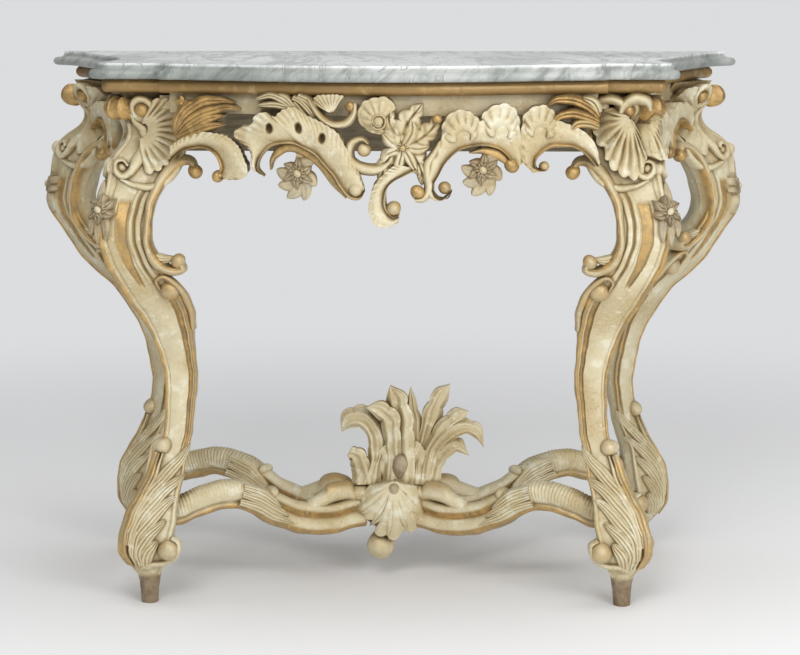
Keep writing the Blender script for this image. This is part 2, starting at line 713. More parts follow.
def leg_face(z, wide, share):
    """Relief and gilding of a leg's face: fillets and a sunk panel on the knee, a channel down the shin."""
    crown = 0.030 * np.sin(math.pi * np.clip((share - 0.09) / 0.60, 0, 1))
    knee = hump(0.520, 0.668, 0.03, z)
    channel = hump(0.73, 0.84, 0.02, share) * hump(0.24, 0.495, 0.03, z)
    inside = 0.115 * step(0.470, 0.590, z) - np.abs(share - 0.42)
    panel = step(-0.02, 0.02, inside) * hump(0.515, 0.648, 0.006, z)
    fillet = knee * (0.034 * hump(0.575, 0.655, 0.018, share) + 0.044 * hump(0.715, 0.825, 0.022, share)
                     - 0.020 * hump(0.670, 0.700, 0.012, share))
    line = 0.018 * hump(0.125, 0.150, 0.012, share) * hump(0.24, 0.70, 0.03, z)
    groove = knee * (hump(0.555, 0.575, 0.015, share) + hump(0.665, 0.705, 0.015, share))
    out = wide * (crown + fillet - line - 0.075 * channel - 0.060 * panel)
    gilt = 0.60 * channel + 0.50 * panel + 0.40 * groove + 16 * line
    return out, gilt


def both_halves(half, sign):
    """Half a ring, and its other half across the ridge with the given sign."""
    return np.concatenate([half, sign * half[:, :0:-1]], axis=1)


def leg_body(leg):
    """S-curved leg: gilt ridge, two carved faces, gilt bead along the inner edge of each."""
    z = np.linspace(LEG_LOW, LEG_TOP, 280)[:, None]
    wide = leg_size(z, FACE_WIDTH)
    roll = 0.050 * wide
    turn = np.radians(np.linspace(0, 100, 6))[None]
    ridge_x = -0.5 * roll + roll * np.cos(turn)
    ridge_y = roll * np.sin(turn)
    share = np.linspace(0.09, 0.87, 60)[None]
    face_out, face_gilt = leg_face(z, wide, share)
    bend = np.radians(np.linspace(150, -90, 9))[None]
    bead_along = wide * 0.935 + roll * np.cos(bend)
    bead_out = -0.1 * roll + roll * np.sin(bend)
    along = np.concatenate([share * wide, bead_along], axis=1)
    out = np.concatenate([face_out, bead_out], axis=1)
    half_x = np.concatenate([ridge_x, (out - along) * DIAGONAL, -wide * [[0.90, 1.00]]], axis=1)
    half_y = np.concatenate([ridge_y, (out + along) * DIAGONAL, wide * [[0.50, 0.28]]], axis=1)
    x = leg.reach(z) - POST_TUCK * step(0.762, 0.795, z) + both_halves(half_x, 1)
    y = both_halves(half_y, -1)
    shin = 0.35 + 0.65 * step(0.10, 0.30, z)
    ridge_gilt = 0.55 * shin * (1 - step(0.60, 0.66, z)) + 0 * ridge_x
    bead_gilt = 0.50 * shin + 0 * bead_along
    half_gilt = np.concatenate([ridge_gilt, face_gilt, bead_gilt, 0 * wide + [[0, 0]]], axis=1)
    return carved(leg.stood(x, y, z + 0 * x), both_halves(half_gilt, 1))


def corner_roll(leg, centre, radius, proud, gilt):
    """Ribbed roll from the volute of one face, round the ridge, to that of the other face."""
    along, height = shifted(leg, [centre])[0]
    ridge = leg.reach(height)
    angle = circle(28)
    around = np.linspace(1, -1, 97)[:, None]
    ribs = 1 - 0.20 * np.abs(np.sin(6 * math.pi * (around + 1) / 2)) ** 0.7
    start = ridge * DIAGONAL
    side_x, side_y = (start - along) * DIAGONAL, (start + along) * DIAGONAL
    bow = math.pi / 2 * around
    out_x, out_y = np.cos(0.5 * bow), np.sin(0.5 * bow)
    sink = ROLL_SINK * step(0.25, 0.80, np.abs(around))
    middle_x = side_x + (ridge + proud - side_x) * np.cos(bow) - sink * out_x
    middle_y = side_y * np.sin(bow) - sink * out_y
    swing = radius * ribs * np.cos(angle)
    rise = height + radius * ribs * np.sin(angle)
    return carved(leg.stood(middle_x + swing * out_x, middle_y + swing * out_y, rise), gilt)


# The post's C-scroll, its lower rim and the border of its shell, on the front face of a front leg
POST_SCROLL = [(-0.012, 0.782), (-0.008, 0.770), (0.005, 0.756), (0.009, 0.740), (0.006, 0.722),
               (-0.004, 0.706), (-0.014, 0.692), (-0.026, 0.686), (-0.036, 0.695), (-0.034, 0.707),
               (-0.023, 0.710), (-0.016, 0.702)]
POST_SCROLL_HALF = [0.003, 0.006, 0.009, 0.010, 0.011, 0.011, 0.009, 0.007, 0.006, 0.005, 0.004, 0.003]
POST_RIM = [(-0.028, 0.682), (-0.008, 0.673), (0.018, 0.671), (0.044, 0.681), (0.062, 0.705), (0.069, 0.733)]
SHELL_HINGE = (-0.002, 0.757)
SHELL_BORDER = [(0.024, 0.806), (0.050, 0.805), (0.066, 0.790), (0.070, 0.762), (0.066, 0.735),
                (0.053, 0.711), (0.032, 0.695), (0.010, 0.690)]

# Parts of a leg drawn by share of a face and height: the hood over the shin, the turned end of the foot,
# and the lobes of its acanthus
HOOD = [(1.02, 0.440), (1.05, 0.480), (1.03, 0.512), (0.90, 0.530), (0.74, 0.524), (0.68, 0.506)]
FOOT_TURN = [(0.30, 0.062), (0.62, 0.068), (0.98, 0.070), (1.16, 0.084), (1.14, 0.104), (0.98, 0.112)]
FOOT_LOBES = [[(0.12, 0.120), (0.16, 0.165), (0.46, 0.206), (0.80, 0.232), (1.00, 0.252)],
              [(0.16, 0.100), (0.22, 0.140), (0.50, 0.176), (0.80, 0.196), (1.00, 0.208)],
              [(0.22, 0.080), (0.28, 0.114), (0.50, 0.146), (0.74, 0.164), (0.94, 0.174)],
              [(0.30, 0.066), (0.34, 0.092), (0.48, 0.114), (0.64, 0.130), (0.78, 0.140)],
              [(0.42, 0.060), (0.46, 0.076), (0.54, 0.090), (0.64, 0.102), (0.70, 0.110)]]
FOOT_STEM = (0.240, 0.210, 0.180, 0.150, 0.118, 0.090, 0.066)

# C-scroll on the inner edge of the knee, and the leaf in its lower end: distance from the edge, and height
CURL = [(0.066, 0.6946), (0.060, 0.7083), (0.046, 0.7098), (0.029, 0.6991), (0.012, 0.6776),
        (-0.001, 0.6469), (-0.0065, 0.6145), (-0.008, 0.590), (-0.0004, 0.5635), (0.013, 0.5465),
        (0.0285, 0.5388), (0.0455, 0.542), (0.040, 0.5554)]
CURL_LEAF = [(-0.004, 0.566), (0.016, 0.557), (0.034, 0.560)]


def shifted(leg, points):
    """Points drawn on a front leg's post, moved to where this leg's post is."""
    shift = float(leg.ridge(POST_LEVEL) - FRONT_LEG.ridge(POST_LEVEL))
    return [(along + shift, height) for along, height in points]


def post_forms(leg, place):
    """C-scroll of the post with a gilt ball in its head, and the rim that closes it below."""
    head = shifted(leg, [POST_HEAD])[0]
    eye = shifted(leg, [POST_EYE])[0]
    return [moulding(place, shifted(leg, POST_SCROLL), POST_SCROLL_HALF, 0.013, -0.016),
            moulding(place, spiral(head, 215, 0.0175, 0.0130, 1.2), 0.0062, 0.012, -0.034),
            moulding(place, shifted(leg, POST_RIM), [0.004, 0.006, 0.007, 0.006, 0.004], 0.009, -0.008),
            knob(place, *head, 0.0115, 0.005, 0.6), knob(place, *eye, 0.0075, 0.002, 0.2)]


def curl(leg, place):
    """C-scroll on the inner edge of the knee, gilt, with a ball in each end."""
    edge = float(leg.edge(KNEE_HEIGHT))
    path, spread = ([(edge + along, height) for along, height in line] for line in (CURL, CURL_LEAF))
    half = [0.005, 0.009, 0.010, 0.008, 0.006, 0.006, 0.008, 0.008, 0.005]
    return [moulding(place, path, half, 0.012, -0.018, 0.3, 0.30),
            blade(place, spread, 0.008, 0.006, -0.012, 0.1),
            knob(place, *path[0], 0.0115, 0.002, 0.7), knob(place, *path[-1], 0.0115, 0.002, 0.4)]


def foot_lobes(leg, place):
    """Acanthus that grows up the shin from the scrolled foot, lobe over lobe."""
    forms = []
    for spine in FOOT_LOBES:
        forms.append(blade(place, leg.drawn(spine), 0.0125, 0.009, grooves=3, root=0.75))
    for share, gilt in ((0.05, 0.45), (0.17, 0.1)):
        stem = leg.drawn([(share, height) for height in FOOT_STEM])
        half = [0.002, 0.004, 0.004, 0.005, 0.005, 0.004, 0.003]
        forms.append(moulding(place, stem, half, 0.008, -0.004, gilt=gilt))
    turn_half = [0.004, 0.006, 0.006, 0.005, 0.003]
    forms.append(moulding(place, leg.drawn(FOOT_TURN), turn_half, 0.008, -0.010, gilt=0.1))
    return forms


def peg(leg):
    """Turned peg under the foot, worn bare at the floor."""
    profile = smooth_run([(0.0135, 0.0), (0.0142, 0.012), (0.0158, 0.030), (0.0185, 0.046), (0.022, 0.058),
                          (0.019, 0.072)], 22)
    angle = circle(32)
    x = profile[:, :1] * np.cos(angle)
    y = profile[:, :1] * np.sin(angle)
    bare = step(0.030, 0.062, profile[:, 1:]) - 1 + 0 * x
    return carved(leg.stood(x, y, profile[:, 1:] + 0 * x), bare)


def leg_forms(leg, shell_sides):
    """All that is carved from one leg; a face with no loose shell has its own."""
    forms = [leg_body(leg), peg(leg), corner_roll(leg, POST_HEAD, 0.0185, 0.003, 0.75),
             corner_roll(leg, POST_EYE, 0.012, -0.003, 0.1)]
    hood_half = [0.003, 0.005, 0.006, 0.006, 0.004, 0.002]
    for side in (1, -1):
        place = leg.face(side)
        forms += post_forms(leg, place)
        forms += curl(leg, place)
        forms += foot_lobes(leg, place)
        if side in shell_sides:
            hinge = shifted(leg, [SHELL_HINGE])[0]
            forms.append(fan(place, hinge, shifted(leg, SHELL_BORDER), 9, 0.011, -0.010))
        forms += [moulding(place, leg.drawn(HOOD), hood_half, 0.009, -0.012, gilt=0.35),
                  knob(place, *leg.part_way(0.84, 0.507), 0.0165, -0.002, 0.35),
                  knob(place, *leg.part_way(0.12, 0.250), 0.0135, -0.001, 0.25),
                  knob(place, *leg.part_way(0.97, 0.093), 0.0175, 0.0, 0.35)]
    return forms


def cut_at_wall(form, depth):
    """Flat, closed back of a form that stands against the wall."""
    bpy.ops.object.select_all(action="DESELECT")
    form.select_set(True)
    bpy.context.view_layer.objects.active = form
    bpy.ops.object.mode_set(mode="EDIT")
    bpy.ops.mesh.select_all(action="SELECT")
    bpy.ops.mesh.remove_doubles(threshold=MERGE)
    bpy.ops.mesh.bisect(plane_co=(0, depth, 0), plane_no=(0, 1, 0), use_fill=True, clear_outer=True)
    bpy.ops.object.mode_set(mode="OBJECT")
    return form


def make_legs():
    """Four legs; the back ones end flat at the wall."""
    stand_in_pair("front_{}_leg", leg_forms(FRONT_LEG, (-1,)))
    forms = [cut_at_wall(form, FRAME_BACK - WALL_STEP * (k % WALL_STEPS))
             for k, form in enumerate(leg_forms(BACK_LEG, (1, -1)))]
    stand_in_pair("back_{}_leg", forms)


def make_knee_flowers():
    """Blossom on each knee, turned a little to the front, with a leaf above it and three that hang below."""
    for leg, name, turn, lift in ((FRONT_LEG, "front", 0.42, 0.006), (BACK_LEG, "back", 0.15, -0.003)):
        place = leg.on_knee(turn)
        forms = blossom(place, KNEE_FLOWER, FLOWER_RADIUS, 6, 0.3, -0.014, -0.55, lift)
        for tip in ((-0.008, 0.680), (0.010, 0.590), (-0.004, 0.582), (-0.015, 0.596)):
            middle = (0.9 * tip[0], 0.5 * (KNEE_LEAVES[1] + tip[1]))
            forms.append(blade(place, [KNEE_LEAVES, middle, tip], 0.0075, 0.004, -0.014, -0.46, 1, 0.6))
        stand_in_pair(name + "_{}_flower", forms)


# Aprons

def apron_face(x):
    """Place in depth of the front apron's face."""
    far = np.abs(x)
    bow_centre = BOW_FRONT + BOW_RADIUS
    bow_x = BOW_RADIUS * math.sin(BOW_TURN)
    bow_y = bow_centre - BOW_RADIUS * math.cos(BOW_TURN)
    hollow_x = bow_x + HOLLOW_RADIUS * math.sin(BOW_TURN)
    hollow_y = bow_y - HOLLOW_RADIUS * math.cos(BOW_TURN)
    end_x = hollow_x - HOLLOW_RADIUS * math.sin(END_TURN)
    end_y = hollow_y + HOLLOW_RADIUS * math.cos(END_TURN)
    bow = bow_centre - np.sqrt(np.clip(BOW_RADIUS ** 2 - far ** 2, 0, None))
    hollow = hollow_y + np.sqrt(np.clip(HOLLOW_RADIUS ** 2 - (hollow_x - far) ** 2, 0, None))
    straight = end_y + (far - end_x) * math.tan(END_TURN)
    return np.where(far < bow_x, bow, np.where(far < end_x, hollow, straight))


def on_apron(along, height, out):
    """Place on the front apron: across the table, height, and out of the face."""
    return np.stack([along + 0 * out, apron_face(along) - out, height + 0 * out], axis=-1)


def on_side(along, height, out):
    """Place on the left side apron: along the depth, height, and out of the face."""
    line = smooth_run(SIDE_LINE, 200)
    across = np.interp(along, line[:, 0], line[:, 1]) - out
    return np.stack([across, along + 0 * out, height + 0 * out], axis=-1)


def left_scroll():
    """Scroll of the left board, beside the leg."""
    inner = [(-0.322, 0.714), (-0.307, 0.726), (-0.288, 0.732), (-0.269, 0.731), (-0.254, 0.723),
             (-0.246, 0.706), (-0.249, 0.694), (-0.244, 0.688)]
    outer = [(-0.324, 0.736), (-0.304, 0.748), (-0.282, 0.756), (-0.260, 0.758), (-0.232, 0.753),
             (-0.218, 0.742), (-0.207, 0.722), (-0.200, 0.706), (-0.206, 0.692), (-0.228, 0.688)]
    return scroll(on_apron, inner, outer, 0.017, flutes=22, gilt=0.7)


def pitted_wave():
    """Long wave of the left board, with three pits in it."""
    inner = [(-0.175, 0.694), (-0.185, 0.705), (-0.182, 0.720), (-0.170, 0.734), (-0.153, 0.742),
             (-0.133, 0.743), (-0.115, 0.738), (-0.098, 0.728), (-0.083, 0.712), (-0.071, 0.695),
             (-0.061, 0.677), (-0.048, 0.663), (-0.033, 0.662), (-0.025, 0.674)]
    outer = [(-0.178, 0.697), (-0.193, 0.706), (-0.199, 0.732), (-0.224, 0.758), (-0.214, 0.767),
             (-0.196, 0.772), (-0.188, 0.787), (-0.174, 0.791), (-0.160, 0.784), (-0.148, 0.794),
             (-0.130, 0.799), (-0.108, 0.788), (-0.087, 0.778), (-0.066, 0.763), (-0.052, 0.742),
             (-0.042, 0.723), (-0.033, 0.704), (-0.026, 0.684)]
    pits = [(-0.168, 0.766), (-0.124, 0.768), (-0.088, 0.754)]
    return scroll(on_apron, inner, outer, 0.018, flutes=34, bead=0.10, gilt=0.3, pits=pits)


def left_mouldings():
    """Gilt moulding under the wave, and a small C-scroll over its end."""
    under = [(-0.166, 0.703), (-0.163, 0.720), (-0.150, 0.735), (-0.136, 0.739), (-0.118, 0.736),
             (-0.103, 0.728), (-0.088, 0.714), (-0.076, 0.696), (-0.064, 0.678), (-0.052, 0.664)]
    under_half = [0.001, 0.006, 0.008, 0.008, 0.007, 0.006, 0.003]
    small = [(-0.107, 0.813), (-0.099, 0.797), (-0.087, 0.782), (-0.070, 0.772), (-0.052, 0.775),
             (-0.041, 0.788), (-0.038, 0.805)]
    small_half = [0.003, 0.005, 0.006, 0.006, 0.006, 0.004]
    return [moulding(on_apron, under, under_half, 0.006, APRON_BACK, gilt=0.5),
            moulding(on_apron, small, small_half, 0.014, APRON_BACK, 0.3, 0.1)]


def left_leaves():
    """Husk and ribbed tip over the wave, and the gilt leaf by the leg."""
    husk = ([(-0.130, 0.796), (-0.148, 0.808), (-0.166, 0.814), (-0.190, 0.809)],
            [(-0.130, 0.795), (-0.154, 0.800), (-0.172, 0.800), (-0.186, 0.801)],
            [(-0.130, 0.797), (-0.142, 0.811), (-0.156, 0.817)],
            [(-0.131, 0.812), (-0.120, 0.808), (-0.108, 0.796), (-0.097, 0.780)],
            [(-0.130, 0.805), (-0.120, 0.793), (-0.106, 0.780)],
            [(-0.123, 0.816), (-0.108, 0.809), (-0.094, 0.789)])
    ribbed_tip = [(-0.100, 0.802), (-0.098, 0.815), (-0.075, 0.818), (-0.053, 0.815)]
    gilt_leaf = (([(-0.316, 0.756), (-0.302, 0.782), (-0.278, 0.800), (-0.250, 0.806), (-0.222, 0.804)], 0.9),
                 ([(-0.314, 0.752), (-0.292, 0.774), (-0.259, 0.790), (-0.228, 0.797), (-0.214, 0.793)], 0.9),
                 ([(-0.312, 0.750), (-0.286, 0.766), (-0.256, 0.780), (-0.236, 0.784)], 0.8),
                 ([(-0.312, 0.748), (-0.286, 0.758), (-0.255, 0.768), (-0.236, 0.770)], 0.7),
                 ([(-0.316, 0.758), (-0.308, 0.780), (-0.296, 0.796), (-0.280, 0.804)], 0.6))
    forms = [blade(on_apron, spine, 0.0065, 0.011, APRON_BACK, -0.1, 1, 0.8) for spine in husk]
    forms.append(fan(on_apron, (-0.072, 0.790), ribbed_tip, 8, 0.007, APRON_BACK))
    forms += [blade(on_apron, spine, 0.010, 0.014, APRON_BACK, gilt, 1, 0.5) for spine, gilt in gilt_leaf]
    return forms


def apron_left_forms():
    """Left board: a scroll by the leg, a pitted wave with its mouldings and leaves, and a rosette."""
    rosette = blossom(on_apron, (-0.306, 0.800), 0.012, 5, 0.0, APRON_BACK, 0.5)
    balls = knobs(on_apron, ((-0.248, 0.692, 0.0095, 0.005, 0.5), (-0.038, 0.677, 0.0115, 0.007, 0.1),
                             (-0.045, 0.800, 0.0085, 0.006, 0.6)))
    return [left_scroll(), pitted_wave(), *left_mouldings(), *left_leaves(), *rosette, *balls]


def right_scrolls():
    """The two scrolls of the right board."""
    first_inner = [(0.105, 0.675), (0.099, 0.665), (0.084, 0.665), (0.077, 0.681), (0.086, 0.699),
                   (0.099, 0.718), (0.119, 0.735), (0.143, 0.742), (0.167, 0.738), (0.186, 0.725),
                   (0.203, 0.706)]
    first_outer = [(0.103, 0.672), (0.084, 0.661), (0.068, 0.670), (0.066, 0.692), (0.071, 0.716),
                   (0.082, 0.736), (0.090, 0.758), (0.106, 0.780), (0.128, 0.784), (0.150, 0.780),
                   (0.176, 0.790), (0.200, 0.780), (0.210, 0.748), (0.212, 0.716)]
    second_inner = [(0.247, 0.701), (0.233, 0.704), (0.232, 0.718), (0.244, 0.730), (0.263, 0.736),
                    (0.286, 0.736), (0.303, 0.726), (0.324, 0.704)]
    second_outer = [(0.226, 0.700), (0.210, 0.719), (0.205, 0.744), (0.208, 0.767), (0.222, 0.784),
                    (0.238, 0.790), (0.256, 0.782), (0.276, 0.774), (0.302, 0.762), (0.320, 0.742),
                    (0.328, 0.712)]
    return [scroll(on_apron, first_inner, first_outer, 0.016, flutes=22, bead=0.08, gilt=0.4),
            scroll(on_apron, second_inner, second_outer, 0.016, flutes=18, bead=0.12, gilt=0.5)]


def right_lobes():
    """Three ribbed lobes along the top of the right board."""
    lobes = (((0.124, 0.748), [(0.090, 0.748), (0.089, 0.772), (0.104, 0.791), (0.128, 0.795),
                               (0.146, 0.781), (0.147, 0.756)]),
             ((0.178, 0.752), [(0.148, 0.762), (0.152, 0.791), (0.174, 0.803), (0.197, 0.799),
                               (0.208, 0.778), (0.204, 0.752)]),
             ((0.238, 0.752), [(0.209, 0.760), (0.214, 0.789), (0.236, 0.801), (0.256, 0.792),
                               (0.266, 0.772), (0.262, 0.750)]))
    return [fan(on_apron, hinge, border, 7, 0.019, APRON_BACK, root=0.35, deep=0.18)
            for hinge, border in lobes]


def right_gilt_leaf():
    """Gilt leaf of the right board, by the leg."""
    spines = (([(0.326, 0.780), (0.306, 0.798), (0.282, 0.808), (0.259, 0.806), (0.245, 0.795)], 0.8),
              ([(0.326, 0.772), (0.306, 0.782), (0.286, 0.787), (0.267, 0.783), (0.255, 0.768)], 0.8),
              ([(0.326, 0.764), (0.310, 0.771), (0.294, 0.771), (0.279, 0.756)], 0.4),
              ([(0.326, 0.786), (0.316, 0.802), (0.300, 0.811)], 0.2))
    return [blade(on_apron, spine, 0.009, 0.019, APRON_BACK, gilt, 1, 0.6) for spine, gilt in spines]


def apron_right_forms():
    """Right board: two scrolls under three ribbed lobes, a gilt moulding and a gilt leaf."""
    under = [(0.130, 0.732), (0.152, 0.734), (0.172, 0.728), (0.188, 0.716), (0.196, 0.706)]
    under_half = [0.001, 0.005, 0.008, 0.007, 0.004]
    balls = knobs(on_apron, ((0.094, 0.680, 0.0095, 0.006, 0.5), (0.195, 0.711, 0.0115, 0.004, 0.6),
                             (0.243, 0.707, 0.008, 0.004, 0.3)))
    return [*right_scrolls(), moulding(on_apron, under, under_half, 0.006, APRON_BACK, gilt=0.5),
            *right_lobes(), *right_gilt_leaf(), *balls]


def cartouche_scrolls():
    """Ear with its eye, the hooked scroll, the drop, and the stem that rises beside it."""
    ear = [(0.006, 0.760), (-0.016, 0.763), (-0.031, 0.774), (-0.035, 0.791), (-0.026, 0.807),
           (-0.010, 0.815), (0.011, 0.814), (0.024, 0.798)]
    eye = spiral((-0.004, 0.780), 200, 0.012, 0.007, 1.3)
    hook = [(-0.018, 0.746), (-0.028, 0.752), (-0.041, 0.748), (-0.048, 0.736), (-0.047, 0.722),
            (-0.035, 0.711), (-0.016, 0.707), (0.004, 0.711), (0.018, 0.722)]
    hook_half = [0.002, 0.005, 0.007, 0.008, 0.009, 0.009, 0.008, 0.006, 0.003]
    drop_inner = [(0.056, 0.706), (0.040, 0.699), (0.022, 0.692), (0.010, 0.681), (0.006, 0.664),
                  (0.010, 0.649), (0.018, 0.638), (0.027, 0.640)]
    drop_outer = [(0.024, 0.716), (0.008, 0.706), (-0.008, 0.690), (-0.017, 0.667), (-0.017, 0.643),
                  (-0.008, 0.626), (0.010, 0.621), (0.026, 0.628)]
    stem = [(0.050, 0.661), (0.062, 0.664), (0.071, 0.679), (0.069, 0.700), (0.071, 0.716),
            (0.080, 0.732), (0.088, 0.750)]
    stem_half = [0.003, 0.006, 0.008, 0.008, 0.008, 0.006, 0.003]
    return [fan(on_apron, (-0.004, 0.779), ear, 8, 0.013, APRON_BACK),
            moulding(on_apron, eye, 0.003, 0.015, APRON_BACK),
            moulding(on_apron, hook, hook_half, 0.014, APRON_BACK, 0.2, 0.1),
            scroll(on_apron, drop_inner, drop_outer, 0.017, flutes=18, bead=0.14, gilt=0.2),
            moulding(on_apron, stem, stem_half, 0.015, APRON_BACK, gilt=0.1)]


def cartouche_leaves():
    """Broad lobed leaves behind the flower of the cartouche, and narrow ones over them."""
    broad = (([(0.030, 0.735), (0.034, 0.765), (0.050, 0.790), (0.062, 0.806)], 0.024, 0.015),
             ([(0.034, 0.735), (0.054, 0.750), (0.074, 0.768), (0.090, 0.786)], 0.020, 0.012),
             ([(0.036, 0.740), (0.022, 0.756), (0.012, 0.776), (0.014, 0.800)], 0.020, 0.013),
             ([(0.034, 0.742), (0.050, 0.726), (0.060, 0.706), (0.060, 0.684)], 0.017, 0.014),
             ([(0.034, 0.742), (0.016, 0.728), (0.004, 0.708), (-0.002, 0.684)], 0.016, 0.014))
    narrow = (((0.016, 0.748), (0.000, 0.764), 0.011, 0.014), ((0.044, 0.758), (0.046, 0.784), 0.012, 0.018),
              ((0.018, 0.734), (0.002, 0.726), 0.010, 0.015), ((0.028, 0.716), (0.020, 0.692), 0.011, 0.017),
              ((0.044, 0.722), (0.054, 0.700), 0.011, 0.018), ((0.054, 0.738), (0.072, 0.742), 0.012, 0.016))
    forms = [leaf(on_apron, spine, wide, high) for spine, wide, high in broad]
    for middle, tip, wide, high in narrow:
        forms.append(blade(on_apron, [CARTOUCHE_FLOWER, middle, tip], wide, high, APRON_BACK, 0.0, 1, 0.5))
    return forms


def cartouche_forms():
    """Middle of the apron: scrolls and leaves about a flower."""
    flower = blossom(on_apron, CARTOUCHE_FLOWER, 0.019, 5, 0.4, APRON_BACK, 0.05, 0.008)
    balls = knobs(on_apron, ((-0.004, 0.780, 0.0085, 0.009, 0.2), (-0.025, 0.737, 0.0105, 0.004, 0.3),
                             (0.019, 0.649, 0.0115, 0.006, 0.4), (0.054, 0.673, 0.0115, 0.004, 0.5),
                             (0.083, 0.783, 0.007, 0.010, 1.0)))
    return [*cartouche_scrolls(), *cartouche_leaves(), *flower, *balls]


def side_apron_forms():
    """Left side apron: two scrolls that meet at a hanging leaf."""
    front_inner = [(-0.094, 0.722), (-0.060, 0.742), (-0.030, 0.744), (0.0, 0.728), (0.016, 0.704)]
    front_outer = [(-0.095, 0.776), (-0.060, 0.784), (-0.036, 0.776), (-0.010, 0.785), (0.014, 0.774),
                   (0.026, 0.776), (0.050, 0.732)]
    rear_inner = [(0.184, 0.730), (0.155, 0.748), (0.125, 0.748), (0.104, 0.728), (0.090, 0.704)]
    rear_outer = [(0.186, 0.770), (0.150, 0.782), (0.130, 0.775), (0.110, 0.784), (0.086, 0.774),
                  (0.074, 0.776), (0.052, 0.732)]
    drop = [(0.050, 0.780), (0.051, 0.740), (0.050, 0.702), (0.049, 0.666)]
    return [scroll(on_side, front_inner, front_outer, 0.014, flutes=20),
            scroll(on_side, rear_inner, rear_outer, 0.014, flutes=20), leaf(on_side, drop, 0.022, 0.016),
            *knobs(on_side, ((0.020, 0.704, 0.011, 0.002, 0.6), (0.086, 0.704, 0.011, 0.002, 0.6)))]


def make_aprons():
    """Front apron in two boards with its middle piece, and the side aprons."""
    stand_in("apron_left", apron_left_forms())
    stand_in("apron_right", apron_right_forms())
    stand_in("apron_cartouche", cartouche_forms())
    stand_in_pair("{}_apron", side_apron_forms())


def make_apron_flower(node, x, z):
    """Blossom that hangs in the hollow of an apron scroll, with pointed leaves round it and a stalk above."""
    forms = blossom(on_apron, (x, z), FLOWER_RADIUS, 6, 0.2, -0.012, -0.50, 0.004)
    tips = ((-0.018, -0.038), (0.008, -0.040), (0.028, -0.018), (-0.032, 0.004), (0.026, 0.018),
            (-0.030, -0.020))
    for across, up in tips:
        bend = (x + 0.5 * across - 0.15 * up, z + 0.6 * up + 0.15 * across)
        spine = [(x, z), bend, (x + across, z + up)]
        forms.append(blade(on_apron, spine, 0.011, 0.005, -0.014, -0.42, 1, 0.6))
    stalk = [(x, z), (x + 0.004, z + 0.022), (x + 0.002, z + 0.042)]
    forms.append(moulding(on_apron, stalk, 0.007, 0.0, -0.016, gilt=0.2))
    stand_in(node, forms)


def make_shells():
    """Loose shells on the front posts; the right one hangs, with two folds over it and a small one beside."""
    face = FRONT_LEG.face(1)
    left = fan(face, SHELL_HINGE, SHELL_BORDER, 12, 0.017, -0.012, root=0.2, scallop=0.07, deep=0.26)
    stand_in("front_left_shell", [left])
    hanging = [(0.030, 0.794), (0.052, 0.780), (0.056, 0.755), (0.051, 0.736), (0.041, 0.726),
               (0.039, 0.712), (0.027, 0.699), (0.012, 0.689), (-0.004, 0.682), (-0.018, 0.690),
               (-0.024, 0.714), (-0.022, 0.748)]
    beside = [(0.008, 0.784), (-0.016, 0.780), (-0.028, 0.756), (-0.026, 0.730), (-0.008, 0.712),
              (0.016, 0.716)]
    outer_fold = [(0.050, 0.768), (0.056, 0.786), (0.048, 0.802), (0.028, 0.805), (0.014, 0.798),
                  (0.018, 0.784)]
    inner_fold = [(0.016, 0.776), (0.012, 0.796), (-0.006, 0.806), (-0.024, 0.800), (-0.030, 0.786)]
    forms = [fan(face, (0.000, 0.778), hanging, 11, 0.027, -0.012, root=0.04, scallop=0.07),
             fan(FRONT_LEG.along_ridge, (0.014, 0.772), beside, 7, 0.034, -0.010),
             moulding(face, outer_fold, [0.005, 0.008, 0.009, 0.009, 0.008, 0.004], 0.024, -0.012),
             moulding(face, inner_fold, [0.004, 0.009, 0.011, 0.009, 0.005], 0.024, -0.012, gilt=0.1)]
    drawn_left = joined("shell_drawn_left", forms)
    placed(flipped(drawn_left, "carved_front_right_shell"), "front_right_shell")
    bpy.data.objects.remove(drawn_left)


# Stretcher

# Half sections of an arm, from the middle of its top to the middle of its underside
ARCH_SECTION = [(0.0, 0.024), (0.011, 0.021), (0.0175, 0.012), (0.0185, 0.002), (0.016, -0.007),
                (0.0110, -0.011), (0.0140, -0.016), (0.010, -0.022), (0.0, -0.024)]
RUN_SECTION = [(0.0, 0.026), (0.009, 0.024), (0.0135, 0.017), (0.0105, 0.010), (0.0080, 0.005),
               (0.014, 0.000), (0.0190, -0.010), (0.0155, -0.021), (0.0, -0.027)]
# Roll on the last part of an arm: share of the arm's line and height over it
ARM_TONGUE = [(0.985, 0.026), (0.955, 0.036), (0.915, 0.042), (0.860, 0.040), (0.800, 0.031), (0.720, 0.014)]


